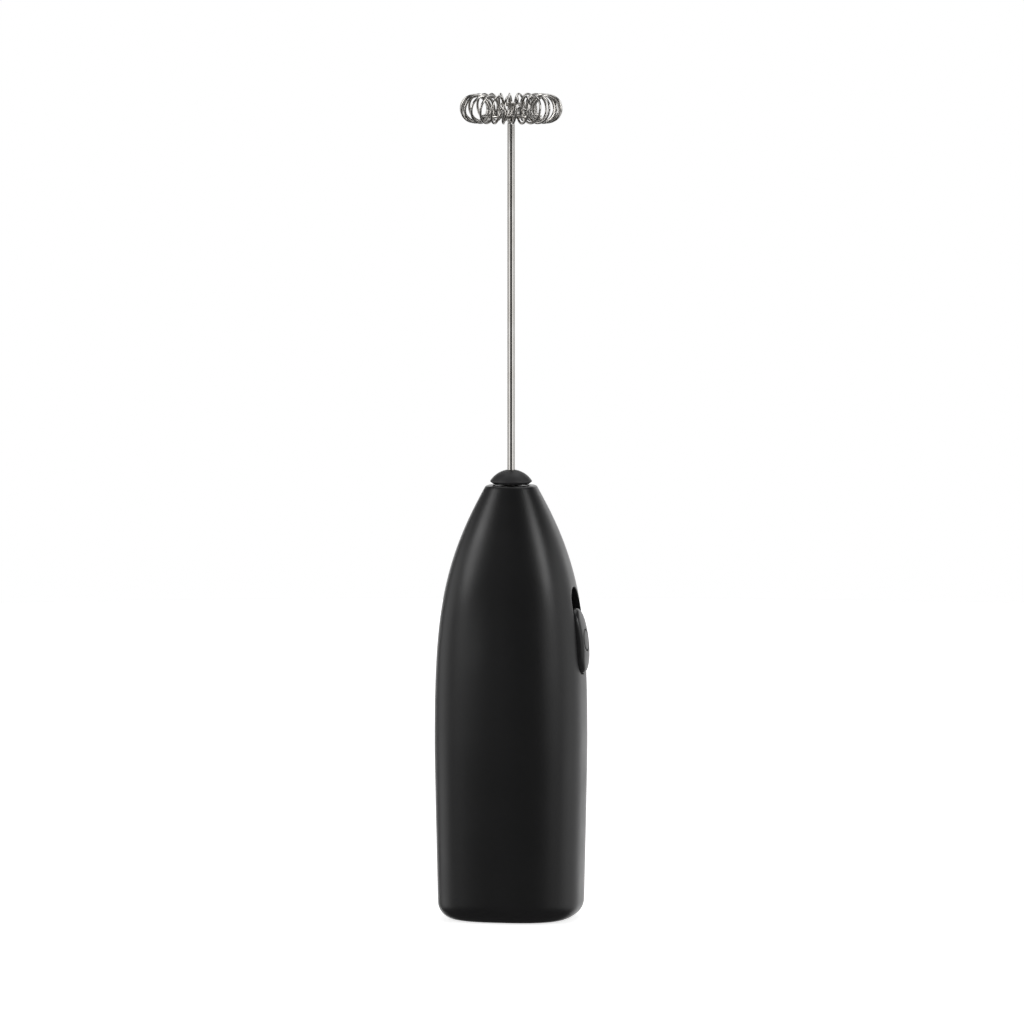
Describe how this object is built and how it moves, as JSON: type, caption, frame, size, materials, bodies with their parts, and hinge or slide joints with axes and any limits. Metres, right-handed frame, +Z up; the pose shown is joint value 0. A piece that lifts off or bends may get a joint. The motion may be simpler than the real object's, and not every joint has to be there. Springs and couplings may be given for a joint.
{
  "type": "milk frother",
  "caption": "Battery milk frother: a bullet-shaped handle with a thumb slide switch, a rear battery door and a coiled wire whisk on a steel rod.",
  "frame": {"origin": "centre of the flat underside of the handle's base", "axes": "+Z up along the rod towards the whisk, +X towards the thumb switch, +Y towards the battery door"},
  "size_m": [0.0399, 0.037, 0.2159],
  "materials": {
    "shell_plastic": "satin",
    "button_plastic": "satin",
    "collar_plastic": "matte",
    "frame_plastic": "matte",
    "slider_plastic": "matte",
    "bush_plastic": "matte",
    "coupling_plastic": "matte",
    "seal_rubber": "matte",
    "stainless_wire": "polished",
    "screw_steel": "zinc plated",
    "cell_jacket": "printed film on a metal can",
    "contact_steel": "nickel plated",
    "contact_brass": "satin",
    "motor_steel": "plated",
    "end_cap_plastic": "matte",
    "magnet_ferrite": "sintered",
    "winding_copper": "enamelled",
    "capacitor_ceramic": "dipped",
    "lead_black": "satin",
    "lead_red": "satin"
  },
  "bodies": {
    "handle": {"front_shell": "shell_plastic", "rear_shell": "shell_plastic", "battery_tray": "frame_plastic", "motor_cradle": "frame_plastic", "tray_screws": "screw_steel", "cradle_screws": "screw_steel", "rear_screw": "screw_steel", "cell_left": "cell_jacket", "cell_right": "cell_jacket", "cell_bridge": "contact_steel", "cell_spring": "contact_steel", "negative_spring": "contact_steel", "negative_contact": "contact_brass", "positive_contact": "contact_brass", "motor_can": "motor_steel", "motor_end_cap": "end_cap_plastic", "motor_magnets": "magnet_ferrite", "motor_terminals": "contact_brass", "motor_brushes": "contact_brass", "noise_capacitor": "capacitor_ceramic", "nose_bush": "bush_plastic", "nose_seal": "seal_rubber", "fixed_contacts": "contact_brass", "lead_battery": "lead_black", "lead_motor": "lead_red", "lead_switch": "lead_red"},
    "battery_door": {"battery_door": "shell_plastic"},
    "switch": {"switch_button": "button_plastic", "switch_slider": "slider_plastic", "sliding_contact": "contact_brass"},
    "whisk": {"rotor_shaft": "motor_steel", "rotor_core": "motor_steel", "rotor_windings": "winding_copper", "commutator": "winding_copper", "shaft_coupling": "coupling_plastic", "whisk_rod": "stainless_wire", "splash_collar": "collar_plastic", "whisk_prongs": "stainless_wire", "whisk_hub": "stainless_wire", "whisk_ring": "stainless_wire", "whisk_coil": "stainless_wire"}
  },
  "joints": [
    {"name": "whisk_spin", "type": "hinge", "parent": "handle", "child": "whisk", "pos_m": [0, 0, 0.1], "axis": [0, 0, 1], "continuous": true},
    {"name": "switch_slide", "type": "slide", "parent": "handle", "child": "switch", "axis": [-0.1178, 0, 0.993], "range_m": [0, 0.0052]},
    {"name": "door_swing", "type": "hinge", "parent": "handle", "child": "battery_door", "pos_m": [0, 0.01777, 0.00513], "axis": [-1, 0, 0], "range_deg": [0, 50]}
  ]
}
